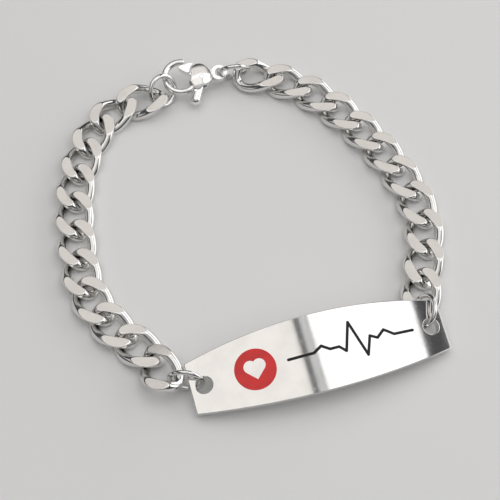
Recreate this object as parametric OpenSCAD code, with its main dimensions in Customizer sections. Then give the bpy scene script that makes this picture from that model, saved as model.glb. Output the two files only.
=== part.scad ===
// Medical alert bracelet: flat ground curb chain, arched identity plate,
// four jump rings and a lobster clasp, closed in a loop and lying flat.

/* [Curb chain] */
// Length from one joint of the chain to the next
link_pitch = 6.2; // [5.8:0.1:6.8]
// Wire of the links before grinding
link_wire = 1.85; // [1.6:0.05:1.95]
// Width of the chain across both limbs
link_w = 7.3; // [6.9:0.1:7.7]
// Height of the chain after both faces are ground
link_h = 2.6; // [2.3:0.1:3]
// Turn that the link takes from its middle to each end
link_twist = 45; // [40:1:50]
// Squareness of the link's outline, 2 is an ellipse
link_square = 2.4; // [2.2:0.1:2.8]
// Play between the wires of two joined links
link_play = 0.25; // [0.2:0.05:0.35]
// Corners along one link
link_sides = 16; // [12:4:32]
// Corners of the wire's section
wire_sides = 6; // [6:2:10]

/* [Identity plate] */
// Length from end to end, straight across
plate_l = 44.5; // [42:0.5:48]
// Width at the middle
plate_mid_w = 13.4; // [11:0.1:14.5]
// Width at each end
plate_end_w = 8.8; // [8:0.1:9.6]
// Thickness of the sheet
plate_t = 1.3; // [1:0.1:1.6]
// Rise of the arch over the ends
plate_rise = 3.3; // [2.6:0.1:3.8]
// Lean of the plate towards the wearer's side, far edge up
plate_lean = 13.5; // [11:0.5:16]
// Height of its lowest corner over the table, as it rests on its rings
plate_lift = 0.5; // [0.3:0.05:0.8]
// Bore of the ring holes
hole_d = 2.8; // [2.6:0.1:3]
// Distance of the ring holes from the ends
hole_inset = 2.35; // [2.2:0.05:2.6]

/* [Enamel] */
// Diameter of the red badge
badge_d = 7; // [6:0.1:8]
// Place of the badge along the plate, from its middle
badge_x = -11.2; // [-12:0.1:-10]
// Height of the heart left in the badge
heart_h = 3.4; // [2.6:0.1:4]
// Width of the dark pulse line
pulse_w = 0.5; // [0.3:0.05:0.7]
// Height of its tallest peak over its lowest dip
pulse_h = 6.2; // [4:0.1:7.5]
// Depth of the enamel in the plate
enamel_deep = 0.3; // [0.2:0.05:0.4]

/* [Jump rings] */
// Wire of the jump rings
ring_wire = 0.85; // [0.7:0.05:0.9]
// Diameter of a ring at the middle of its wire
ring_d = 5.6; // [5.5:0.1:5.9]

/* [Clasp] */
// Radius of the hook at the middle of its wire
hook_r = 3.1; // [3:0.05:3.3]
// Wire of the hook
hook_wire = 1.25; // [1.1:0.05:1.35]
// Thickness of the clasp body
claw_t = 2.7; // [2.5:0.1:3]
// Outer diameter of the eye
eye_d = 3.2; // [3.1:0.1:3.4]
// Bore of the eye
eye_bore = 1.5; // [1.4:0.05:1.6]
// Thickness of the lever where it runs in its slot
lever_t = 0.9; // [0.7:0.1:1]
// Diameter of the lever's thumb tab
tab_d = 2; // [1.7:0.1:2.2]
// Diameter of the lever's pin
pin_d = 0.8; // [0.6:0.1:1]
// Roll of the clasp about its length, far side up
clasp_roll = 14; // [11:1:16]
// Height of the clasp's middle over the table
clasp_z = 3; // [2.8:0.1:3.2]
// Widest swing of the lever
lever_swing = 20; // [10:1:22]

/* [Hidden] */
// One name for each solid
$fn = 64;

// Headings of the links in degrees as the chain lies, going round from the
// plate's right hole to the clasp, and on from the clasp to its left hole
RIGHT_RUN = [63, 63, 73, 90, 101, 107, 113, 119, 128, 141, 158];
LEFT_RUN = [170, 209.5, 232, 243, 252, 260, 263, 268, 284, 297, 308, 277];
// Headings of the ring sides and of the clasp on the same way round, and the
// share of a ring's diameter that each ring side spans in plan
RING_RIGHT = [91.5, 0.772];
RING_EYE = [172, 0.85];
CLASP_RUN = 175;
RING_HOOK = [220, 0.88];
RING_LEFT = [338, 1];
// How each ring lies: heading, climb, tilt, shift of its middle in X and Y,
// and rise over the table
LIE_RIGHT = [108.4, -34.2, -44.9, 0.23, 0.67, 0.14];
LIE_EYE = [171.4, -2.5, 68.53, 0.41, -0.08, 0.05];
LIE_HOOK = [211.84, -2.16, -57.37, -0.22, -0.22, 0.03];
LIE_LEFT = [337.2, 9, -90.5, 0.18, 0.41, 0.03];
// How the end links ride up on the rings: shift in X and Y, turn, pitch up at
// the ring's end, roll and rise
RIDE_R1 = [0.3, -0.16, 5.4, 0.7, -1.1, 0.07];
RIDE_R11 = [0.16, -0.11, 1.6, 3.8, 1.7, 0.14];
RIDE_L12 = [0.11, 0.09, 5.1, 3.7, -8, 0.36];
RIDE_L1 = [-0.1, -0.25, 6.6, 14.2, 12, 0.56];

steel = [0.78, 0.77, 0.75];
wire_r = link_wire / 2;
ring_r = ring_wire / 2;
gap = 0.12;

// Link: half length and half width at the middle of its wire
link_a = (link_pitch + link_wire + link_play) / 2;
link_b = (link_w - link_wire) / 2;
// Place in a link, from its middle, where a taut jump ring's wire passes
link_seat = link_a - wire_r - ring_r - gap;

// Plate: radius of the arch at the upper face, and where its holes lie
arch_r = (pow(plate_l / 2, 2) + pow(plate_rise, 2)) / (2 * plate_rise);
hole_turn = asin((plate_l / 2 - hole_inset) / arch_r);
hole_x = (arch_r - plate_t / 2) * sin(hole_turn);
hole_drop = arch_r - (arch_r - plate_t / 2) * cos(hole_turn);
// Height of the arch's crown over the table
plate_low = arch_r - sqrt(pow(arch_r - plate_t, 2) - pow(plate_l / 2, 2));
plate_z = plate_lift + plate_end_w / 2 * sin(plate_lean) + plate_low * cos(plate_lean);
hole_y = hole_drop * sin(plate_lean);
hole_z = plate_z - hole_drop * cos(plate_lean);
hole_seat = hole_d / 2 - ring_r - gap;
// Clasp: from the eye's middle to the ring in the hook
hook_mid = [-7.3, 0.35];
claw_run = -hook_mid[0] + hook_r - hook_wire / 2 - ring_r - gap;

// Sides of the closed loop: [length, heading, 1 where it may turn to close]
function run(h, first, last) = [for (i = [0 : len(h) - 1])
    [(i == first ? link_seat : link_pitch / 2) + (i == last ? link_seat : link_pitch / 2),
     h[i], 1]];
SIDES = concat([[hole_seat + RING_RIGHT[1] * ring_d, RING_RIGHT[0], 0]],
    run(RIGHT_RUN, 0, len(RIGHT_RUN) - 1),
    [[RING_EYE[1] * ring_d, RING_EYE[0], 0], [claw_run, CLASP_RUN, 0],
     [RING_HOOK[1] * ring_d, RING_HOOK[0], 0]],
    run(LEFT_RUN, 0, len(LEFT_RUN) - 1),
    [[hole_seat + RING_LEFT[1] * ring_d, RING_LEFT[0], 0]]);

// Turns the free sides by the least amounts that bring the end to the start
function total(s, f) = [for (i = [0 : len(s) - 1]) 1] * [for (v = s) f(v)];
function nudge(s) = let (
    ex = 2 * hole_x + total(s, function (v) v[0] * cos(v[1])),
    ey = total(s, function (v) v[0] * sin(v[1])),
    a = total(s, function (v) v[2] * pow(v[0] * sin(v[1]), 2)),
    b = total(s, function (v) -v[2] * pow(v[0], 2) * sin(v[1]) * cos(v[1])),
    c = total(s, function (v) v[2] * pow(v[0] * cos(v[1]), 2)),
    d = a * c - b * b,
    p = -(c * ex - b * ey) / d,
    q = -(a * ey - b * ex) / d)
    [for (v = s) [v[0],
        v[1] + v[2] * v[0] * (q * cos(v[1]) - p * sin(v[1])) * 180 / PI, v[2]]];
function closed(s, n) = n == 0 ? s : closed(nudge(s), n - 1);
LOOP = closed(SIDES, 6);

// Corners of the loop, from the right hole round to the left hole
function dir(h) = [cos(h), sin(h)];
function corners(s) = [for (i = 0, p = [hole_x, hole_y]; i <= len(s);
    p = i < len(s) ? p + s[i][0] * dir(s[i][1]) : p, i = i + 1) p];
CORNER = corners(LOOP);

// Side number of the first link on each run, and of the clasp
R0 = 1;
N_R = len(RIGHT_RUN);
N_L = len(LEFT_RUN);
EYE_SIDE = R0 + N_R;
CLASP_SIDE = EYE_SIDE + 1;
HOOK_SIDE = CLASP_SIDE + 1;
L0 = HOOK_SIDE + 1;

// Middle and heading of a link, by its side of the loop
function link_mid(i) = CORNER[i]
    + ((i == R0 || i == L0) ? link_seat : link_pitch / 2) * dir(LOOP[i][1]);
function link_at(i) = [link_mid(i)[0], link_mid(i)[1], LOOP[i][1]];

// Reach of a link's outline from its middle along one axis
function reach(h, k) = let (q = link_square / (link_square - 1),
    u = k == 0 ? [cos(h), sin(h)] : [sin(h), cos(h)])
    pow(pow(abs((link_a + wire_r) * u[0]), q) + pow(abs(link_w / 2 * u[1]), q), 1 / q);
LINKS = concat([for (i = [R0 : R0 + N_R - 1]) i], [for (i = [L0 : L0 + N_L - 1]) i]);
X_HI = max([for (i = LINKS) link_mid(i)[0] + reach(LOOP[i][1], 0)]);
X_LO = min([for (i = LINKS) link_mid(i)[0] - reach(LOOP[i][1], 0)]);
Y_HI = max([for (i = LINKS) link_mid(i)[1] + reach(LOOP[i][1], 1)]);
Y_LO = -plate_mid_w / 2 * cos(plate_lean);

// Clasp seat: the eye's middle is the corner before the clasp's side
CLASP_H = LOOP[CLASP_SIDE][1] + 180;
CLASP_TOP = CORNER[CLASP_SIDE][1] + cos(CLASP_H) * (hook_mid[1] + hook_r + hook_wire / 2)
    * cos(clasp_roll) + sin(CLASP_H) * hook_mid[0];
// Brings the middle of the whole outline over the origin
ORIGIN = [-(X_HI + X_LO) / 2, -(max(Y_HI, CLASP_TOP) + Y_LO) / 2, 0];

// Wire of a curb link: middle, sideways direction and section at turn t
function sgnpow(v, e) = sign(v) * pow(abs(v), e);
function wire_at(t) = let (x = link_a * sgnpow(cos(t), 2 / link_square),
    rho = link_b * sgnpow(sin(t), 2 / link_square), th = -link_twist * x / link_a)
    [x, rho * cos(th), rho * sin(th)];
function unit(v) = v / norm(v);
// Section ring: round wire cut level at both ground faces
function section(t) = let (c = wire_at(t),
    f = unit(wire_at(t + 2) - wire_at(t - 2)),
    side = unit(cross(f, [0, 0, 1])),
    up = cross(side, f),
    top = min(60, asin(max(0.05, min(1, (link_h / 2 - c[2]) / (up[2] * wire_r))))),
    low = min(60, asin(max(0.05, min(1, (link_h / 2 + c[2]) / (up[2] * wire_r))))),
    n = wire_sides / 2)
    concat([for (k = [0 : n - 1]) let (g = top - (top + low) * k / (n - 1))
            c + wire_r * (cos(g) * side + sin(g) * up)],
        [for (k = [0 : n - 1]) let (g = -low + (top + low) * k / (n - 1))
            c + wire_r * (-cos(g) * side + sin(g) * up)]);

// Curb link, middle at the origin, length along X, both faces ground level
module curb_link() {
    pts = [for (i = [0 : link_sides - 1]) each section(360 * i / link_sides)];
    faces = [for (i = [0 : link_sides - 1]) for (k = [0 : wire_sides - 1])
        let (j = (i + 1) % link_sides, m = (k + 1) % wire_sides)
        each [[i * wire_sides + k, j * wire_sides + m, i * wire_sides + m],
              [i * wire_sides + k, j * wire_sides + k, j * wire_sides + m]]];
    polyhedron(pts, faces);
}

// Link on its side of the loop, lying on its ground face
module link_on(i) {
    color(steel) translate([link_at(i)[0], link_at(i)[1], link_h / 2] + ORIGIN)
        rotate([0, 0, link_at(i)[2]]) curb_link();
}

// End link that rides up on a ring at its end e (1 is +X, -1 is -X), as r says
module end_link(i, e, r) {
    color(steel) translate([link_at(i)[0] + r[0], link_at(i)[1] + r[1], link_h / 2 + r[5]] + ORIGIN)
        rotate([0, 0, link_at(i)[2] + r[2]])
            translate([-e * link_pitch / 2, 0, 0]) rotate([0, -e * r[3], 0])
                translate([e * link_pitch / 2, 0, 0]) rotate([r[4], 0, 0]) curb_link();
}

// Round jump ring, axis along Z
module jump_ring() {
    rotate_extrude() translate([ring_d / 2, 0]) circle(d = ring_wire, $fn = 32);
}

// Ring on side i of the loop, lying as r says
module ring_on(i, r) {
    p = (CORNER[i] + CORNER[i + 1]) / 2;
    low = ring_r + ring_d / 2 * sqrt(1 - pow(cos(r[1]) * cos(r[2]), 2));
    color(steel) translate([p[0] + r[3], p[1] + r[4], low + r[5]] + ORIGIN)
        rotate([0, 0, r[0]]) rotate([0, -r[1], 0]) rotate([r[2], 0, 0]) jump_ring();
}

// Places something on the leaning plate: X along it, Z out of its upper face
module on_plate() {
    translate([0, 0, plate_z] + ORIGIN) rotate([plate_lean, 0, 0]) children();
}

// Part of the arched sheet between two depths under its upper face
module sheet(top, low) {
    translate([0, 0, -arch_r]) rotate([90, 0, 0])
        difference() {
            cylinder(r = arch_r - top, h = plate_mid_w + 4, center = true, $fn = 128);
            cylinder(r = arch_r - low, h = plate_mid_w + 6, center = true, $fn = 128);
        }
}

// Barrel outline: straight ends, long edges on two wide arcs
bow_r = let (s = (plate_mid_w - plate_end_w) / 2) (pow(plate_l / 2, 2) + s * s) / (2 * s);
module plate_outline() {
    intersection() {
        square([plate_l, plate_mid_w + 2], center = true);
        translate([0, plate_mid_w / 2 - bow_r]) circle(r = bow_r, $fn = 256);
        translate([0, bow_r - plate_mid_w / 2]) circle(r = bow_r, $fn = 256);
    }
}

// Plain heart, its middle at the origin
module heart() {
    s = heart_h / 2.2;
    translate([0, -0.12 * s]) {
        rotate(45) square(1.4 * s, center = true);
        for (m = [-1, 1]) translate([m * 0.495 * s, 0.495 * s]) circle(d = 1.4 * s);
    }
}

// Corners of the pulse line, along the plate and across it
PULSE = [[-5.6, 0], [-1.2, 0], [0.3, 0.14], [1.6, 0], [3.2, 0], [4.2, -0.16], [5.8, 0.6],
    [7.6, -0.4], [8.8, 0.1], [10, 0], [11.4, 0.18], [13, 0], [16.4, 0]];
module pulse_stroke() {
    for (i = [0 : len(PULSE) - 2]) let (a = [PULSE[i][0], PULSE[i][1] * pulse_h],
        b = [PULSE[i + 1][0], PULSE[i + 1][1] * pulse_h], d = b - a) {
        translate((a + b) / 2) rotate(atan2(d[1], d[0]))
            square([norm(d), pulse_w], center = true);
        translate(a) circle(d = pulse_w, $fn = 24);
        translate(b) circle(d = pulse_w, $fn = 24);
    }
}

// Column through the sheet under a flat outline
module column() {
    translate([0, 0, -plate_rise - 2 * plate_t]) linear_extrude(plate_rise + 4 * plate_t) children();
}

module badge_shape() {
    translate([badge_x, 0]) difference() {
        circle(d = badge_d);
        heart();
    }
}

module id_plate() {
    color(steel) on_plate() difference() {
        intersection() {
            sheet(0, plate_t);
            column() plate_outline();
        }
        for (m = [-1, 1]) translate([0, 0, -arch_r]) rotate([0, m * hole_turn, 0])
            translate([0, 0, arch_r - 2 * plate_t]) cylinder(d = hole_d, h = 3 * plate_t);
        intersection() {
            sheet(-plate_t, enamel_deep);
            column() badge_shape();
        }
        intersection() {
            sheet(-plate_t, enamel_deep);
            column() pulse_stroke();
        }
    }
}

module badge() {
    color([0.75, 0.1, 0.12]) on_plate() intersection() {
        sheet(-0.04, enamel_deep);
        column() badge_shape();
    }
}

module pulse_line() {
    color([0.08, 0.08, 0.09]) on_plate() intersection() {
        sheet(0, enamel_deep);
        column() pulse_stroke();
    }
}

module ring_plate_right() { ring_on(0, LIE_RIGHT); }
module ring_eye() { ring_on(EYE_SIDE, LIE_EYE); }
module ring_hook() { ring_on(HOOK_SIDE, LIE_HOOK); }
module ring_plate_left() { ring_on(len(SIDES) - 1, LIE_LEFT); }

// Clasp in its own frame: eye at the origin, hook towards -X, flat in XY
module on_clasp() {
    translate([CORNER[CLASP_SIDE][0], CORNER[CLASP_SIDE][1], clasp_z] + ORIGIN)
        rotate([0, 0, CLASP_H]) rotate([clasp_roll, 0, 0]) children();
}

pivot = [-3.5, -0.7];
// Outline of the lever in the slot: gate arm, hub and tab arm, grown by g
module lever_outline(g) {
    translate(pivot) circle(r = 1.15 + g);
    translate(pivot) rotate(139) translate([0, -0.5 - g]) square([3.9 + g, 1 + 2 * g]);
    translate(pivot) rotate(246) translate([0, -0.75 - g]) square([4 + g, 1.5 + 2 * g]);
}

module clasp_body() {
    color(steel) on_clasp() difference() {
        union() {
            // Hook, open at the gate, with a round tip
            translate(hook_mid) rotate([0, 0, 78]) rotate_extrude(angle = 234)
                translate([hook_r, 0]) circle(d = hook_wire, $fn = 32);
            translate([hook_mid[0] + hook_r * cos(78), hook_mid[1] + hook_r * sin(78), 0])
                sphere(d = hook_wire, $fn = 32);
            // Body: swelling outline between two shallow domes
            intersection() {
                linear_extrude(claw_t + 1, center = true) {
                    translate([-3.45, -0.35]) circle(r = 2.05);
                    translate([-3.75, 0.75]) circle(r = 1.6);
                    translate([-4.7, -1.6]) circle(r = 1.35);
                }
                translate([-3.6, -0.3, claw_t / 2 - 5.5]) sphere(r = 5.5, $fn = 96);
                translate([-3.6, -0.3, 5.5 - claw_t / 2]) sphere(r = 5.5, $fn = 96);
            }
            // Eye and its neck
            cylinder(d = eye_d, h = 1.15, center = true);
            translate([-2.4, 0, 0]) cube([2.4, 1.5, 1.15], center = true);
        }
        cylinder(d = eye_bore, h = 3, center = true);
        // Slot swept by the lever
        linear_extrude(lever_t + 0.2, center = true)
            for (a = [0 : 5 : lever_swing + 2]) translate(pivot) rotate(a)
                translate(-pivot) lever_outline(gap);
        translate(pivot) cylinder(d = pin_d, h = 4, center = true);
    }
}

module clasp_lever() {
    color(steel) on_clasp() difference() {
        union() {
            linear_extrude(lever_t, center = true) lever_outline(0);
            // Gate
            linear_extrude(1.4, center = true)
                polygon([[-4.65, 2.7], [-5.4, 2.85], [-6, 2.65], [-7.1, 2.55], [-7.5, 2.3],
                    [-7.4, 1.9], [-6.7, 1.2], [-6, 0.75], [-5.55, 0.75], [-5.4, 1.5],
                    [-5.1, 2], [-4.65, 2.35]]);
            // Thumb tab
            translate(pivot) rotate([0, 0, 246]) {
                translate([3.1, 0, 0]) rotate([0, 90, 0]) cylinder(d = tab_d, h = 1.4);
                translate([4.5, 0, 0]) sphere(d = tab_d);
            }
        }
        translate(pivot) cylinder(d = pin_d + 0.12, h = 4, center = true);
    }
}

module clasp_pin() {
    color(steel) on_clasp() translate(pivot) cylinder(d = pin_d, h = claw_t - 0.1, center = true);
}

id_plate();
badge();
pulse_line();
ring_plate_left();
ring_plate_right();
ring_hook();
ring_eye();
clasp_body();
clasp_lever();
clasp_pin();
end_link(R0, -1, RIDE_R1);  // link_r01
link_on(R0 + 1);  // link_r02
link_on(R0 + 2);  // link_r03
link_on(R0 + 3);  // link_r04
link_on(R0 + 4);  // link_r05
link_on(R0 + 5);  // link_r06
link_on(R0 + 6);  // link_r07
link_on(R0 + 7);  // link_r08
link_on(R0 + 8);  // link_r09
link_on(R0 + 9);  // link_r10
end_link(R0 + 10, 1, RIDE_R11);  // link_r11
end_link(L0, -1, RIDE_L12);  // link_l12
link_on(L0 + 1);  // link_l11
link_on(L0 + 2);  // link_l10
link_on(L0 + 3);  // link_l09
link_on(L0 + 4);  // link_l08
link_on(L0 + 5);  // link_l07
link_on(L0 + 6);  // link_l06
link_on(L0 + 7);  // link_l05
link_on(L0 + 8);  // link_l04
link_on(L0 + 9);  // link_l03
link_on(L0 + 10);  // link_l02
end_link(L0 + 11, 1, RIDE_L1);  // link_l01
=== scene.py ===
import math

import bmesh
import bpy
import numpy as np
from mathutils import Matrix, Vector, geometry


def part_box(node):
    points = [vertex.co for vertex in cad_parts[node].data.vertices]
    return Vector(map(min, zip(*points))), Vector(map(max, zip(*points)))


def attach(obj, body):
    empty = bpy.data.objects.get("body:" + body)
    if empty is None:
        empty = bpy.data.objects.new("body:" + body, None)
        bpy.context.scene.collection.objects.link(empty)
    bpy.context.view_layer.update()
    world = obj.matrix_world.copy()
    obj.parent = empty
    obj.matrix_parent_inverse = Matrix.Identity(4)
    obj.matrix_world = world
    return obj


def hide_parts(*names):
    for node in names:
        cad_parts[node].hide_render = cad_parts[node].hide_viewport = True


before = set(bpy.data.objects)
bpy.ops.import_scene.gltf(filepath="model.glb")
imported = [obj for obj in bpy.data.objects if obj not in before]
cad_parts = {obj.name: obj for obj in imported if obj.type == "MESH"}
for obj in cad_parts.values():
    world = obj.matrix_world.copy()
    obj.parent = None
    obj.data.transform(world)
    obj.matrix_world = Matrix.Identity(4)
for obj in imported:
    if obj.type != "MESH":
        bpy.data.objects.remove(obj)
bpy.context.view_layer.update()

# Curb chain: flat links of round stainless wire, each bent into an oval ring
# and given a twist so that it lies flat through its neighbours. Both faces
# are then ground level and the whole chain is tumbled to a mirror polish.
MM = 0.001  # the sizes of all pieces are in millimetres
LINK_HALF_LENGTH = 4.15
LINK_HALF_WIDTH = 2.725
LINK_WIRE_RADIUS = 0.925
LINK_HEIGHT = 2.6
LINK_TWIST = math.radians(45)
LINK_SQUARENESS = 2.4
LINK_EDGE_SOFTNESS = 0.07
LINK_SIDES_ALONG = 132
LINK_SIDES_AROUND = 44
CHAINS = (("curb_chain_right", "link_r", 11), ("curb_chain_left", "link_l", 12))
CLOUD_GRAIN = 260.0  # how fine the marks are, as noise scales per metre
HAIRLINE_GRAIN = 5200.0
PIT_GRAIN = 1900.0
PIT_DULLNESS = 0.06
CLOUD_SHADE = 0.93
MARK_HEIGHT = 0.00002  # in metres


class Socket:
    """A node's socket that takes part in Python arithmetic."""

    def __init__(self, net, socket):
        self.net, self.socket = net, socket

    def math(self, operation, *values):
        return self.net.add("ShaderNodeMath", {"operation": operation}, dict(enumerate(values)))

    def __add__(self, other):
        return self.math("ADD", self, other)

    def __radd__(self, other):
        return self.math("ADD", other, self)

    def __sub__(self, other):
        return self.math("SUBTRACT", self, other)

    def __rsub__(self, other):
        return self.math("SUBTRACT", other, self)

    def __mul__(self, other):
        return self.math("MULTIPLY", self, other)

    def __rmul__(self, other):
        return self.math("MULTIPLY", other, self)

    def __truediv__(self, other):
        return self.math("DIVIDE", self, other)

    def __rtruediv__(self, other):
        return self.math("DIVIDE", other, self)

    def __pow__(self, other):
        return self.math("POWER", self, other)

    def __neg__(self):
        return self.math("MULTIPLY", self, -1.0)

    def __abs__(self):
        return self.math("ABSOLUTE", self)

    def sign(self):
        return self.math("SIGN", self)

    def sine(self):
        return self.math("SINE", self)

    def cosine(self):
        return self.math("COSINE", self)

    def step(self, low, high):
        """0 below low, 1 above high and smooth between them."""
        return self.net.add("ShaderNodeMapRange", {"interpolation_type": "SMOOTHSTEP"},
                            {"Value": self, "From Min": low, "From Max": high})


class Net:
    """A node tree with one method that adds a node of any type."""

    def __init__(self, tree):
        self.tree = tree

    def add(self, kind, settings=None, inputs=None, output=0):
        node = self.tree.nodes.new(kind)
        for name, value in (settings or {}).items():
            setattr(node, name, value)
        for key, value in (inputs or {}).items():
            target = node.inputs[key]
            if isinstance(value, Socket):
                self.tree.links.new(value.socket, target)
            else:
                target.default_value = value
        return Socket(self, node.outputs[output]) if len(node.outputs) else None

    def also(self, socket, output):
        """Another output of the node that a socket comes from."""
        return Socket(self, socket.socket.node.outputs[output])

    def mix_colours(self, factor, first, second):
        """A Mix node set to colour, whose colour sockets are inputs 6 and 7 and output 2."""
        return self.add("ShaderNodeMix", {"data_type": "RGBA"},
                        {"Factor": factor, 6: (*first, 1.0), 7: (*second, 1.0)}, output=2)


def new_finish(name):
    """A material, its empty net, and the place on the piece that its patterns read."""
    material = bpy.data.materials.new(name)
    material.use_nodes = True
    net = Net(material.node_tree)
    net.tree.nodes.clear()
    return material, net, net.add("ShaderNodeTexCoord", output="Object")


def steel(name, tint, roughness, unevenness, scratch_depth, lay=(1.0, 1.0, 1.0)):
    """Polished stainless steel: faint cloudiness in the polish, fine pits, slightly duller,
    and hairline scratches, drawn out along each axis where lay is below 1."""
    material, net, place = new_finish(name)
    cloud = net.add("ShaderNodeTexNoise", {}, {"Vector": place, "Scale": CLOUD_GRAIN,
                                              "Detail": 4.0, "Roughness": 0.55})
    grain = net.add("ShaderNodeMapping", {}, {"Vector": place, "Scale": lay})
    hair = net.add("ShaderNodeTexNoise", {}, {"Vector": grain, "Scale": HAIRLINE_GRAIN,
                                             "Detail": 3.0, "Roughness": 0.6})
    pits = net.add("ShaderNodeTexNoise", {}, {"Vector": place, "Scale": PIT_GRAIN,
                                             "Detail": 2.0})
    rough = roughness + (cloud - 0.5) * unevenness + pits.step(0.62, 0.78) * PIT_DULLNESS
    shade = net.mix_colours(cloud.step(0.35, 0.7), tint, [c * CLOUD_SHADE for c in tint])
    bump = net.add("ShaderNodeBump", {}, {"Strength": scratch_depth, "Distance": MARK_HEIGHT,
                                         "Height": hair})
    surface = net.add("ShaderNodeBsdfPrincipled", {}, {
        "Base Color": shade, "Metallic": 1.0, "Roughness": rough, "Normal": bump})
    net.add("ShaderNodeOutputMaterial", {}, {"Surface": surface})
    return material


chain_steel = steel("polished_chain_steel", tint=(0.80, 0.79, 0.775), roughness=0.10,
                    unevenness=0.06, scratch_depth=0.10)


def pose_of(node):
    """Middle and turn of a flat CAD piece, from the spread of its corners: its length lies
    along the turned X and its thinnest way along the turned Z."""
    corners = np.array(sorted({tuple(round(c, 7) for c in v.co)
                               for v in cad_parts[node].data.vertices}))
    middle = corners.mean(0)
    _, axes = np.linalg.eigh(np.cov((corners - middle).T))
    z = Vector(axes[:, 0])
    z = z if z.z >= 0 else -z
    y = Vector(axes[:, 1])
    x = y.cross(z).normalized()
    return Vector(middle), Matrix((x, y, z)).transposed()


def new_tree(name, inputs):
    """A geometry tree with named inputs, its net and its input sockets by name."""
    tree = bpy.data.node_groups.new(name, "GeometryNodeTree")
    tree.interface.new_socket("Geometry", in_out="INPUT", socket_type="NodeSocketGeometry")
    for label, (kind, value) in inputs.items():
        socket = tree.interface.new_socket(label, in_out="INPUT", socket_type=kind)
        if value is not None:
            socket.default_value = value
    tree.interface.new_socket("Geometry", in_out="OUTPUT", socket_type="NodeSocketGeometry")
    net = Net(tree)
    entry = tree.nodes.new("NodeGroupInput")
    return tree, net, {s.name: Socket(net, s) for s in entry.outputs if s.name}


def finish_tree(net, given, shape):
    """Ends a tree: the shape laid on every point with the point's own turn, made real,
    with smooth faces and one material."""
    turn = net.add("GeometryNodeInputNamedAttribute", {"data_type": "FLOAT_VECTOR"},
                   {"Name": "turn"})
    laid = net.add("GeometryNodeInstanceOnPoints", {}, {
        "Points": given["Geometry"], "Instance": shape,
        "Rotation": net.add("FunctionNodeEulerToRotation", {}, {"Euler": turn})})
    real = net.add("GeometryNodeRealizeInstances", {}, {"Geometry": laid})
    smooth = net.add("GeometryNodeSetShadeSmooth", {}, {"Geometry": real})
    dressed = net.add("GeometryNodeSetMaterial", {}, {"Geometry": smooth,
                                                     "Material": given["Material"]})
    net.add("NodeGroupOutput", {}, {"Geometry": dressed})


def shown(name, data):
    """A new object of the scene, from a mesh, a light or a camera."""
    thing = bpy.data.objects.new(name, data)
    bpy.context.scene.collection.objects.link(thing)
    return thing


def grow(name, tree, poses, material):
    """Runs a tree on one point for each pose and keeps the result as a plain mesh."""
    seed = bpy.data.meshes.new(name + "_points")
    seed.from_pydata([middle for middle, _ in poses], [], [])
    turn = seed.attributes.new("turn", "FLOAT_VECTOR", "POINT")
    for i, (_, axes) in enumerate(poses):
        turn.data[i].vector = axes.to_euler("XYZ")
    holder = shown(name + "_points", seed)
    modifier = holder.modifiers.new("tree", "NODES")
    modifier.node_group = tree
    for item in tree.interface.items_tree:
        if item.item_type == "SOCKET" and item.in_out == "INPUT" and item.name == "Material":
            modifier[item.identifier] = material
    evaluated = holder.evaluated_get(bpy.context.evaluated_depsgraph_get())
    mesh = bpy.data.meshes.new_from_object(evaluated)
    mesh.name = name
    bpy.data.objects.remove(holder)
    return shown(name, mesh)


link_tree, net, given = new_tree("ground_curb_links", {
    "Half Length": ("NodeSocketFloat", LINK_HALF_LENGTH * MM),
    "Half Width": ("NodeSocketFloat", LINK_HALF_WIDTH * MM),
    "Wire Radius": ("NodeSocketFloat", LINK_WIRE_RADIUS * MM),
    "Ground Height": ("NodeSocketFloat", LINK_HEIGHT * MM),
    "Twist": ("NodeSocketFloat", LINK_TWIST),
    "Squareness": ("NodeSocketFloat", LINK_SQUARENESS),
    "Edge Softness": ("NodeSocketFloat", LINK_EDGE_SOFTNESS * MM),
    "Sides Along": ("NodeSocketInt", LINK_SIDES_ALONG),
    "Sides Around": ("NodeSocketInt", LINK_SIDES_AROUND),
    "Material": ("NodeSocketMaterial", None)})
hoop = net.add("GeometryNodeCurvePrimitiveCircle", {}, {"Resolution": given["Sides Along"],
                                                       "Radius": 1.0})
hoop_x = net.add("ShaderNodeSeparateXYZ", {}, {"Vector": net.add("GeometryNodeInputPosition")})
hoop_y = net.also(hoop_x, "Y")
power = 2.0 / given["Squareness"]
along = given["Half Length"] * hoop_x.sign() * abs(hoop_x) ** power
reach = given["Half Width"] * hoop_y.sign() * abs(hoop_y) ** power
turned = -(given["Twist"] * along / given["Half Length"])
bent = net.add("GeometryNodeSetPosition", {}, {
    "Geometry": hoop,
    "Position": net.add("ShaderNodeCombineXYZ", {}, {
        "X": along, "Y": reach * turned.cosine(), "Z": reach * turned.sine()})})
upright = net.add("GeometryNodeSetCurveNormal", {"mode": "Z_UP"}, {"Curve": bent})
wire = net.add("GeometryNodeCurvePrimitiveCircle", {}, {"Resolution": given["Sides Around"],
                                                       "Radius": given["Wire Radius"]})
round_link = net.add("GeometryNodeCurveToMesh", {}, {"Curve": upright, "Profile Curve": wire})
skin = net.add("ShaderNodeSeparateXYZ", {}, {"Vector": net.add("GeometryNodeInputPosition")})
level = given["Ground Height"] * 0.5
cut = skin.math("SMOOTH_MIN", net.also(skin, "Z"), level, given["Edge Softness"])
cut = skin.math("SMOOTH_MAX", cut, -level, given["Edge Softness"])
ground_link = net.add("GeometryNodeSetPosition", {}, {
    "Geometry": round_link,
    "Position": net.add("ShaderNodeCombineXYZ", {}, {
        "X": skin, "Y": net.also(skin, "Y"), "Z": cut})})
finish_tree(net, given, ground_link)

for name, label, count in CHAINS:
    nodes = ["%s%02d" % (label, i) for i in range(1, count + 1)]
    chain = grow(name, link_tree, [pose_of(n) for n in nodes], chain_steel)
    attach(chain, "bracelet")
    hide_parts(*nodes)

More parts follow.
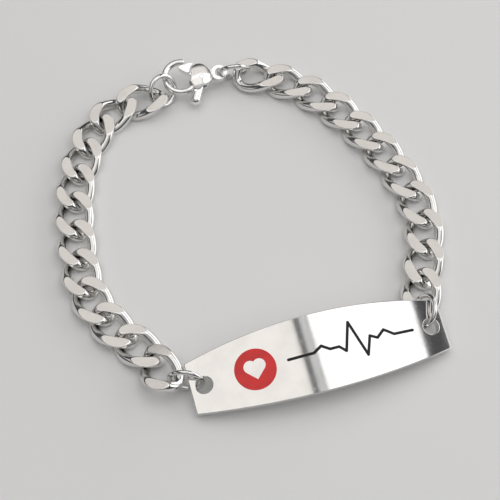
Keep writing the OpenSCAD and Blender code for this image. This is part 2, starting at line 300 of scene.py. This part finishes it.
# Identity plate: barrel-shaped blank of stainless sheet, rolled to an arch for the wrist,
# with a round hole for a ring near each end. Its edges are broken, and the face is
# polished to a mirror with only the faintest wipe marks left along it.
PLATE_LENGTH = 44.5
PLATE_MIDDLE_WIDTH = 13.4
PLATE_END_WIDTH = 8.8
PLATE_THICKNESS = 1.3
PLATE_RISE = 3.3
PLATE_LEAN = math.radians(13.5)
PLATE_CORNER = 0.3
PLATE_EDGE = 0.16
HOLE_DIAMETER = 2.8
HOLE_INSET = 2.35
HOLE_SIDES = 56
OUTLINE_STEP = 0.45
CORNER_POINTS = 7
EDGE_STEPS = 4
PLATE_CELL = 0.8
RIM_ROOM = 0.6  # share of a cell that the faces' inner points keep from the rims
ARCH_RADIUS = (PLATE_LENGTH ** 2 / 4 + PLATE_RISE ** 2) / (2 * PLATE_RISE)
HOLE_TURN = math.asin((PLATE_LENGTH / 2 - HOLE_INSET) / ARCH_RADIUS)
HOLE_X = ARCH_RADIUS * math.sin(HOLE_TURN)

plate_steel = steel("mirror_plate_steel", tint=(0.82, 0.81, 0.80), roughness=0.08,
                    unevenness=0.04, scratch_depth=0.04, lay=(0.06, 1.0, 1.0))


def barrel_outline():
    """Closed outline of the blank: straight ends, wide arcs along, small round corners."""
    sag = (PLATE_MIDDLE_WIDTH - PLATE_END_WIDTH) / 2
    bow = (PLATE_LENGTH ** 2 / 4 + sag ** 2) / (2 * sag)
    centre_y = PLATE_MIDDLE_WIDTH / 2 - bow
    end_x = PLATE_LENGTH / 2
    # Round corner between the straight end and the upper arc
    cx = end_x - PLATE_CORNER
    cy = centre_y + math.sqrt((bow - PLATE_CORNER) ** 2 - cx ** 2)
    lean = math.atan2(cy - centre_y, cx)
    quarter = [(end_x, y) for y in np.linspace(0, cy, int(cy / OUTLINE_STEP))[:-1]]
    quarter += [(cx + PLATE_CORNER * math.cos(a), cy + PLATE_CORNER * math.sin(a))
                for a in np.linspace(0, lean, CORNER_POINTS)]
    steps = int(bow * (math.pi / 2 - lean) / OUTLINE_STEP)
    quarter += [(bow * math.cos(a), centre_y + bow * math.sin(a))
                for a in np.linspace(lean, math.pi / 2, steps)[1:]]
    half = quarter + [(-x, y) for x, y in quarter[-2::-1]]
    return half + [(x, -y) for x, y in half[-2:0:-1]]


def circle_outline(x, radius, count):
    """Circle on the plate's long middle line."""
    return [(x + radius * math.cos(2 * math.pi * i / count),
             radius * math.sin(2 * math.pi * i / count)) for i in range(count)]


def wound(loop, anticlockwise):
    """The loop as an array, turned round if it doesn't run the way asked for."""
    loop = np.array(loop, float)
    x, y = loop.T
    area = np.sum(x * np.roll(y, -1) - np.roll(x, -1) * y)
    return loop if (area > 0) == anticlockwise else loop[::-1]


def shifted(loop, amount):
    """The loop moved inwards by amount; a clockwise loop, which is a hole, grows instead."""
    before, after = np.roll(loop, 1, 0), np.roll(loop, -1, 0)
    arriving, leaving = loop - before, after - loop
    arriving /= np.linalg.norm(arriving, axis=1)[:, None]
    leaving /= np.linalg.norm(leaving, axis=1)[:, None]
    inward = np.stack([-(arriving + leaving)[:, 1], (arriving + leaving)[:, 0]], 1)
    inward /= np.linalg.norm(inward, axis=1)[:, None]
    # At a sharp corner the point moves twice the amount at most
    lift = np.maximum(0.5, inward[:, 0] * -arriving[:, 1] + inward[:, 1] * arriving[:, 0])
    return loop + inward * (amount / lift)[:, None]


def inside(points, loop):
    """Which points lie inside a closed loop."""
    x, y = points[:, 0], points[:, 1]
    hit = np.zeros(len(points), bool)
    for (x1, y1), (x2, y2) in zip(loop, np.roll(loop, -1, 0)):
        with np.errstate(divide="ignore", invalid="ignore"):
            crosses = ((y1 > y) != (y2 > y)) & (x < (x2 - x1) * (y - y1) / (y2 - y1) + x1)
        hit ^= crosses
    return hit


def on_arch(x, y, depth, radial):
    """A place on the arched plate, and the way straight out of its face there. The share
    radial says how far a wall there runs towards the arch's centre instead of down."""
    radius = ARCH_RADIUS - depth
    turn = np.arcsin(np.clip(x / ARCH_RADIUS, -1, 1))
    foot = x + (radius * np.sin(turn) - x) * radial
    fall = np.arcsin(foot / radius)
    place = np.stack([foot, y, radius * np.cos(fall) - ARCH_RADIUS], -1)
    out = np.stack([np.sin(fall), np.zeros_like(fall), np.cos(fall)], -1)
    return place, out


def arched_slab(name, loops, top, bottom, edge, cell, material):
    """A slab bent to the plate's arch. The first loop is its outline and the others are its
    holes; top and bottom are depths under the plate's face, and edge is the edge rounding."""
    loops = [wound(loop, k == 0) for k, loop in enumerate(loops)]
    verts, outs, faces = [], [], []

    def radial(points):
        """1 at the wall of a ring's hole, 0 from the hole's inset outwards."""
        near = np.minimum(np.hypot(points[:, 0] - HOLE_X, points[:, 1]),
                          np.hypot(points[:, 0] + HOLE_X, points[:, 1]))
        share = np.clip((HOLE_INSET - near) / (HOLE_INSET - HOLE_DIAMETER / 2), 0, 1)
        return share * share * (3 - 2 * share)

    def put(points, depth, tilt=None, side=None):
        """Adds a row of points, with normals tilted to the side, and returns their numbers."""
        place, out = on_arch(points[:, 0], points[:, 1], depth, radial(points))
        if tilt is not None:
            sideways = np.column_stack([side, np.zeros(len(side))])
            out = out * math.cos(tilt) + sideways * math.sin(tilt)
        first = len(verts)
        verts.extend(place.tolist())
        outs.extend(out.tolist())
        return list(range(first, first + len(points)))

    def band(upper, lower):
        """Joins two rows of points with faces."""
        for i in range(len(upper)):
            j = (i + 1) % len(upper)
            faces.append((upper[i], lower[i], lower[j], upper[j]))

    # Walls, round at both edges
    turns = [math.pi / 2 * k / EDGE_STEPS for k in range(EDGE_STEPS + 1)]
    rims = []
    for loop in loops:
        outward = loop - shifted(loop, edge)
        outward /= np.linalg.norm(outward, axis=1)[:, None]
        rows = []
        for a in turns:
            rows.append(put(shifted(loop, edge * (1 - math.sin(a))),
                            top + edge * (1 - math.cos(a)), a, outward))
        for a in reversed(turns):
            rows.append(put(shifted(loop, edge * (1 - math.sin(a))),
                            bottom - edge * (1 - math.cos(a)), math.pi - a, outward))
        for upper, lower in zip(rows, rows[1:]):
            band(upper, lower)
        rims.append((rows[0], rows[-1], shifted(loop, edge)))

    def on_face(points):
        """Which points lie within the outline and in none of the holes."""
        holes = [inside(points, ring) for _, _, ring in rims[1:]]
        return inside(points, rims[0][2]) & ~np.any([np.zeros(len(points), bool)] + holes, 0)

    # Faces, cut into a grid of cells between the rims
    rim_points = np.vstack([ring for _, _, ring in rims])
    low, high = rim_points.min(0), rim_points.max(0)
    grid = np.array([(x, y) for x in np.arange(low[0], high[0], cell)
                     for y in np.arange(low[1], high[1], cell)])
    clear = np.array([np.min(np.hypot(*(rim_points - g).T)) > cell * RIM_ROOM for g in grid])
    grid = grid[clear & on_face(grid)]
    flat = [Vector(p) for p in np.vstack([rim_points, grid])]
    edges, start = [], 0
    for _, _, ring in rims:
        n = len(ring)
        edges += [(start + i, start + (i + 1) % n) for i in range(n)]
        start += n
    # Mode 0 fills the whole convex hull with triangles; those off the face are left out below
    found, _, cells, came_from, _, _ = geometry.delaunay_2d_cdt(flat, edges, [], 0, 1e-6)
    found = np.array([tuple(p) for p in found])
    good = on_face(np.array([found[list(c)].mean(0) for c in cells]))
    upper_rim = sum([row for row, _, _ in rims], [])
    lower_rim = sum([row for _, row, _ in rims], [])
    upper_grid = put(grid, top) if len(grid) else []
    lower_grid = put(grid, bottom) if len(grid) else []
    for i in lower_grid:
        outs[i] = [-c for c in outs[i]]
    upper, lower = upper_rim + upper_grid, lower_rim + lower_grid
    index = [source[0] if source else None for source in came_from]
    for cell_points, ok in zip(cells, good):
        corners = [index[c] for c in cell_points]
        if ok and None not in corners and len(set(corners)) == 3:
            a, b, c = (found[i] for i in cell_points)
            if (b[0] - a[0]) * (c[1] - a[1]) - (b[1] - a[1]) * (c[0] - a[0]) < 0:
                corners.reverse()
            faces.append(tuple(upper[i] for i in corners))
            faces.append(tuple(lower[i] for i in reversed(corners)))
    mesh = bpy.data.meshes.new(name)
    mesh.from_pydata(verts, [], faces)
    mesh.materials.append(material)
    mesh.polygons.foreach_set("use_smooth", [True] * len(mesh.polygons))
    mesh.validate()
    mesh.normals_split_custom_set_from_vertices([Vector(o).normalized() for o in outs])
    return mesh


def seat_on_plate(mesh):
    """Leans a mesh as the plate leans, in metres, and sets it where the CAD plate is."""
    mesh.transform(Matrix.Translation(plate_middle)
                   @ Matrix.Rotation(PLATE_LEAN, 4, "X") @ Matrix.Scale(MM, 4))
    mesh.update()


plate_mesh = arched_slab(
    "identity_plate",
    [barrel_outline()] + [circle_outline(x, HOLE_DIAMETER / 2, HOLE_SIDES)
                          for x in (HOLE_X, -HOLE_X)],
    top=0, bottom=PLATE_THICKNESS, edge=PLATE_EDGE, cell=PLATE_CELL, material=plate_steel)
turned_box = [Matrix.Rotation(PLATE_LEAN, 3, "X") @ v.co * MM for v in plate_mesh.vertices]
own_low = Vector([min(v[k] for v in turned_box) for k in range(3)])
own_high = Vector([max(v[k] for v in turned_box) for k in range(3)])
cad_low, cad_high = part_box("id_plate")
plate_middle = (cad_low + cad_high) / 2 - (own_low + own_high) / 2
seat_on_plate(plate_mesh)
plate = shown("identity_plate", plate_mesh)
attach(plate, "bracelet")
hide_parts("id_plate")

# Enamel badge: a round of glossy red enamel let into the face, with a plain heart of
# bare steel left standing in it. It is flush but for the slight crown of the fired glaze.
BADGE_DIAMETER = 7.0
BADGE_X = -11.2
BADGE_SIDES = 96
BADGE_CELL = 0.5
HEART_HEIGHT = 3.4
HEART_SQUARE = 1.4 / 2.2  # shares of the heart's height
HEART_DROP = 0.12 / 2.2
HEART_ARC_POINTS = 28
GLAZE_STAND = 0.04
ENAMEL_DEPTH = 0.3
ENAMEL_EDGE = 0.05
GLAZE_CLOUD_GRAIN = 420.0
GLAZE_CLOUD_SHADE = 0.8
GLAZE_UNEVENNESS = 0.08


def enamel(name, colour, roughness, gloss, grain, depth):
    """Fired enamel: even colour with faint clouding, and fine orange peel in its glaze."""
    material, net, place = new_finish(name)
    cloud = net.add("ShaderNodeTexNoise", {}, {"Vector": place, "Scale": GLAZE_CLOUD_GRAIN,
                                              "Detail": 3.0})
    peel = net.add("ShaderNodeTexNoise", {}, {"Vector": place, "Scale": grain, "Detail": 2.0})
    shade = net.mix_colours(cloud.step(0.3, 0.75), colour,
                            [c * GLAZE_CLOUD_SHADE for c in colour])
    bump = net.add("ShaderNodeBump", {}, {"Strength": depth, "Distance": MARK_HEIGHT,
                                         "Height": peel})
    surface = net.add("ShaderNodeBsdfPrincipled", {}, {
        "Base Color": shade, "Roughness": roughness + (cloud - 0.5) * GLAZE_UNEVENNESS,
        "Specular IOR Level": gloss, "Normal": bump})
    net.add("ShaderNodeOutputMaterial", {}, {"Surface": surface})
    return material


def heart_outline(middle_x, height):
    """Plain heart: a square on its corner with a half round on each upper side."""
    half = HEART_SQUARE * height / 2
    arc = np.linspace(0, math.pi, HEART_ARC_POINTS)[1:]
    square = [(-half, -half), (half, -half)]
    right_lobe = [(half + half * math.sin(a), -half * math.cos(a)) for a in arc]
    left_lobe = [(half * math.cos(a), half + half * math.sin(a)) for a in arc]
    c, s = math.cos(math.pi / 4), math.sin(math.pi / 4)
    return [(middle_x + x * c - y * s, x * s + y * c - HEART_DROP * height)
            for x, y in square + right_lobe + left_lobe]


red_enamel = enamel("red_fired_enamel", (0.90, 0.026, 0.028), roughness=0.24, gloss=0.45,
                    grain=1500.0, depth=0.25)
badge_mesh = arched_slab(
    "enamel_badge",
    [circle_outline(BADGE_X, BADGE_DIAMETER / 2, BADGE_SIDES),
     heart_outline(BADGE_X, HEART_HEIGHT)],
    top=-GLAZE_STAND, bottom=ENAMEL_DEPTH, edge=ENAMEL_EDGE, cell=BADGE_CELL,
    material=red_enamel)
seat_on_plate(badge_mesh)
badge = shown("enamel_badge", badge_mesh)
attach(badge, "bracelet")
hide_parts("badge")

# Pulse line: a dark enamel line let into the face beside the badge, in the shape of a
# heartbeat's trace. It is filled level and rubbed to a satin black.
PULSE_WIDTH = 0.5
PULSE_HEIGHT = 6.2
PULSE_CORNERS = [(-5.6, 0), (-1.2, 0), (0.3, 0.14), (1.6, 0), (3.2, 0), (4.2, -0.16),
                 (5.8, 0.6), (7.6, -0.4), (8.8, 0.1), (10, 0), (11.4, 0.18), (13, 0), (16.4, 0)]
PULSE_STAND = 0.012
PULSE_EDGE = 0.02
PULSE_CELL = 0.9
CUT_STEP = 0.8
JOIN_ROOM = 2.4  # widths kept free of cuts beside a corner
JOIN_TURN = 0.35  # radians between the points of a round join
END_POINTS = 7


def round_end(place, way, side, radius):
    """Points of the half round that closes a stroke's end, from one side to the other."""
    return [place + (side * math.cos(a) + way * math.sin(a)) * radius
            for a in np.linspace(0, math.pi, END_POINTS)[1:-1]]


def stroke_outline(corners, width):
    """Outline of a stroke with round joins and round ends. Its long stretches are cut fine
    enough to follow the arch, but not near the corners, where the joins need the room."""
    room = JOIN_ROOM * width
    points = [Vector(corners[0])]
    for corner in corners[1:]:
        start, way = points[-1], Vector(corner) - points[-1]
        free = way.length - 2 * room
        if free > 0:
            cuts = np.linspace(room, way.length - room, 2 + int(free / CUT_STEP))
            points += [start + way.normalized() * cut for cut in cuts]
        points.append(Vector(corner))
    sides = {1: [], -1: []}
    for i, p in enumerate(points):
        before = (p - points[i - 1]).normalized() if i else None
        after = (points[i + 1] - p).normalized() if i + 1 < len(points) else None
        a, b = before or after, after or before
        for s in (1, -1):
            n1, n2 = Vector((-a.y, a.x)) * s, Vector((-b.y, b.x)) * s
            bend = a.x * b.y - a.y * b.x
            if bend * s > 1e-6:
                # Inside of a bend: one mitred point, at most four half widths away
                mid = (n1 + n2).normalized()
                sides[s].append(p + mid * (width / 2 / max(0.25, mid.dot(n1))))
            else:
                # Outside of a bend: points round the corner; a straight run gets two
                steps = max(1, int(n1.angle(n2) / JOIN_TURN)) if bend * s < -1e-6 else 1
                for k in range(steps + 1):
                    sides[s].append(p + n1.lerp(n2, k / steps).normalized() * width / 2)
    first = (points[1] - points[0]).normalized()
    last = (points[-1] - points[-2]).normalized()
    end_cap = round_end(points[-1], last, Vector((last.y, -last.x)), width / 2)
    start_cap = round_end(points[0], -first, Vector((-first.y, first.x)), width / 2)
    loop = sides[-1] + end_cap + sides[1][::-1] + start_cap
    # Points that fall together are merged
    clean = [loop[0]]
    for p in loop[1:]:
        if (p - clean[-1]).length > 1e-3:
            clean.append(p)
    return [tuple(p) for p in clean]


dark_enamel = enamel("dark_line_enamel", (0.012, 0.012, 0.014), roughness=0.4, gloss=0.25,
                     grain=5200.0, depth=0.3)
pulse_mesh = arched_slab(
    "enamel_pulse_line",
    [stroke_outline([(x, y * PULSE_HEIGHT) for x, y in PULSE_CORNERS], PULSE_WIDTH)],
    top=-PULSE_STAND, bottom=ENAMEL_DEPTH, edge=PULSE_EDGE, cell=PULSE_CELL,
    material=dark_enamel)
seat_on_plate(pulse_mesh)
pulse = shown("enamel_pulse_line", pulse_mesh)
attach(pulse, "bracelet")
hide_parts("pulse_line")

# Jump rings: four rings of round wire, each closed on a hairline seam. Two join the
# plate's holes to the chain, one hangs in the clasp's hook and one in its eye.
RING_RADIUS = 2.8
RING_WIRE_RADIUS = 0.425
RING_SEAM = 0.05
RING_SIDES_ALONG = 144
RING_SIDES_AROUND = 32

ring_steel = steel("polished_ring_steel", tint=(0.80, 0.79, 0.78), roughness=0.10,
                   unevenness=0.05, scratch_depth=0.06)
ring_tree, net, given = new_tree("jump_rings", {
    "Ring Radius": ("NodeSocketFloat", RING_RADIUS * MM),
    "Wire Radius": ("NodeSocketFloat", RING_WIRE_RADIUS * MM),
    "Seam": ("NodeSocketFloat", RING_SEAM * MM),
    "Sides Along": ("NodeSocketInt", RING_SIDES_ALONG),
    "Sides Around": ("NodeSocketInt", RING_SIDES_AROUND),
    "Material": ("NodeSocketMaterial", None)})
sweep = 2 * math.pi - given["Seam"] / given["Ring Radius"]
loop = net.add("GeometryNodeCurveArc", {"mode": "RADIUS"}, {
    "Resolution": given["Sides Along"], "Radius": given["Ring Radius"], "Sweep Angle": sweep})
wire = net.add("GeometryNodeCurvePrimitiveCircle", {}, {"Resolution": given["Sides Around"],
                                                       "Radius": given["Wire Radius"]})
ring = net.add("GeometryNodeCurveToMesh", {}, {"Curve": loop, "Profile Curve": wire,
                                              "Fill Caps": True})
finish_tree(net, given, ring)
ring_nodes = ["ring_plate_left", "ring_plate_right", "ring_hook", "ring_eye"]
rings = grow("jump_rings", ring_tree, [pose_of(n) for n in ring_nodes], ring_steel)
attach(rings, "bracelet")
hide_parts(*ring_nodes)

# Lobster clasp: hook, swelling body and eye are one investment casting. Its edges are
# tumbled soft, and it is slotted through for the lever.
BODY_GRAIN = 0.055
BODY_TUMBLING = 9
TUMBLING_FORCE = 0.5

clasp_steel = steel("polished_cast_steel", tint=(0.92, 0.915, 0.905), roughness=0.18,
                    unevenness=0.05, scratch_depth=0.04)


def cast(name, node, grain, tumbling, material):
    """A soft-edged casting from the CAD node's own shape: one skin, then tumbled. It is
    skinned along the rivet's axis, so that its flat faces stay flat."""
    _, along_rivet = pose_of("clasp_pin")
    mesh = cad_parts[node].data.copy()
    mesh.name = name
    shape = bmesh.new()
    shape.from_mesh(mesh)
    bmesh.ops.remove_doubles(shape, verts=shape.verts, dist=1e-6)
    shape.to_mesh(mesh)
    shape.free()
    mesh.transform(Matrix.Scale(1 / MM, 4) @ along_rivet.inverted().to_4x4())
    mesh.materials.clear()
    body = shown(name, mesh)
    skin = body.modifiers.new("skin", "REMESH")
    skin.mode = "VOXEL"
    skin.voxel_size = grain
    tumble = body.modifiers.new("tumble", "SMOOTH")
    tumble.factor = TUMBLING_FORCE
    tumble.iterations = tumbling
    evaluated = body.evaluated_get(bpy.context.evaluated_depsgraph_get())
    done = bpy.data.meshes.new_from_object(evaluated)
    bpy.data.objects.remove(body)
    done.transform(along_rivet.to_4x4() @ Matrix.Scale(MM, 4))
    done.name = name
    done.materials.append(material)
    done.polygons.foreach_set("use_smooth", [True] * len(done.polygons))
    done.update()
    return shown(name, done)


clasp = cast("clasp_casting", "clasp_body", BODY_GRAIN, BODY_TUMBLING, clasp_steel)
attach(clasp, "bracelet")
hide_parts("clasp_body")

# Clasp lever: a small steel lever with the gate at one end and the thumb tab at the
# other. It turns on a rivet and a hidden spring keeps the gate shut.
LEVER_GRAIN = 0.045
LEVER_TUMBLING = 4

lever = cast("clasp_lever_piece", "clasp_lever", LEVER_GRAIN, LEVER_TUMBLING, clasp_steel)
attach(lever, "lever")
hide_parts("clasp_lever")

# Rivet: a short steel pin through the body and the lever, its ends dressed flush with
# the body's domes. It is the CAD node itself, in the clasp's steel.
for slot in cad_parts["clasp_pin"].material_slots:
    slot.material = clasp_steel

# Floor, light and camera: a plain pale table in a dark room, under a ceiling of soft panels.
# The plate mirrors a warm and a white one with a dark joint between them, and the clasp and
# the chain's ground faces mirror one each. The front and two upright ones light the wires.
TABLE_REACH = 1.5  # this section's sizes are in metres
TABLE_COLOUR = (0.90, 0.90, 0.895, 1)
ROOM_COLOUR = (0.07, 0.071, 0.075, 1)
PLAIN_LIGHT = (1.0, 1.0, 1.0)
WARM_LIGHT = (1.0, 0.965, 0.92)
WARMER_LIGHT = (1.0, 0.95, 0.90)
PANEL_HEIGHT = 0.62
# Name, first and last X, first and last Y, brightness and tint of each ceiling panel
CEILING = (("plate_warm", -0.45, 0.054, -0.32, 0.052, 0.99, WARM_LIGHT),
           ("plate_joint", 0.074, 0.097, -0.32, 0.052, 0.62, PLAIN_LIGHT),
           ("plate_white", 0.103, 0.55, -0.32, 0.052, 1.35, PLAIN_LIGHT),
           ("clasp_white", -0.45, 0.55, 0.054, 0.20, 1.22, PLAIN_LIGHT),
           ("back", -0.50, 0.45, 0.205, 0.80, 0.76, WARMER_LIGHT),
           ("front", -0.50, 0.50, -0.95, -0.33, 0.42, PLAIN_LIGHT))

floor_mesh = bpy.data.meshes.new("table_top")
floor_mesh.from_pydata([(x * TABLE_REACH, y * TABLE_REACH, 0)
                        for x, y in ((-1, -1), (1, -1), (1, 1), (-1, 1))], [], [(0, 1, 2, 3)])
floor = shown("table_top", floor_mesh)
table = bpy.data.materials.new("pale_table")
table.use_nodes = True
principled = table.node_tree.nodes["Principled BSDF"]
principled.inputs["Base Color"].default_value = TABLE_COLOUR
principled.inputs["Roughness"].default_value = 0.7
principled.inputs["Specular IOR Level"].default_value = 0.2
floor_mesh.materials.append(table)

world = bpy.data.worlds.new("studio_dark")
world.use_nodes = True
world.node_tree.nodes["Background"].inputs["Color"].default_value = ROOM_COLOUR
bpy.context.scene.world = world
bpy.context.scene.view_settings.view_transform = "Standard"


def panel(name, middle, facing, width, depth, brightness, tint):
    """A soft panel whose face has the given brightness, turned towards the place facing."""
    data = bpy.data.lights.new(name, "AREA")
    data.shape = "RECTANGLE"
    data.size, data.size_y = width, depth
    data.energy = brightness * math.pi * width * depth
    data.color = tint
    lamp = shown(name, data)
    lamp.location = middle
    lamp.rotation_euler = (Vector(facing) - Vector(middle)).to_track_quat("-Z", "Y").to_euler()


for name, x_from, x_to, y_from, y_to, brightness, tint in CEILING:
    x, y = (x_from + x_to) / 2, (y_from + y_to) / 2
    panel(name, (x, y, PANEL_HEIGHT), (x, y, 0), x_to - x_from, y_to - y_from, brightness, tint)
panel("left", (-0.62, 0.05, 0.26), facing=(0, 0, 0), width=0.9, depth=0.20,
      brightness=0.5, tint=PLAIN_LIGHT)
panel("right", (0.64, 0.15, 0.28), facing=(0, 0.15, 0.28), width=1.2, depth=0.52,
      brightness=1.5, tint=PLAIN_LIGHT)

CAMERA_TURN = math.radians(16.1)
CAMERA_RISE = math.radians(58)
CAMERA_DISTANCE = 0.23947
CAMERA_LENS = 98.0  # in millimetres, as is the sensor
CAMERA_SENSOR = 36.0
LOOK_AT = Vector((-0.001184, -0.006756, 0.0026))
towards_camera = Vector((-math.sin(CAMERA_TURN) * math.cos(CAMERA_RISE),
                         -math.cos(CAMERA_TURN) * math.cos(CAMERA_RISE),
                         math.sin(CAMERA_RISE)))
camera_data = bpy.data.cameras.new("camera")
camera_data.lens = CAMERA_LENS
camera_data.sensor_width = CAMERA_SENSOR
camera_data.clip_start = 0.01
camera = shown("camera", camera_data)
camera.location = LOOK_AT + towards_camera * CAMERA_DISTANCE
camera.rotation_euler = towards_camera.to_track_quat("Z", "Y").to_euler()
bpy.context.scene.camera = camera
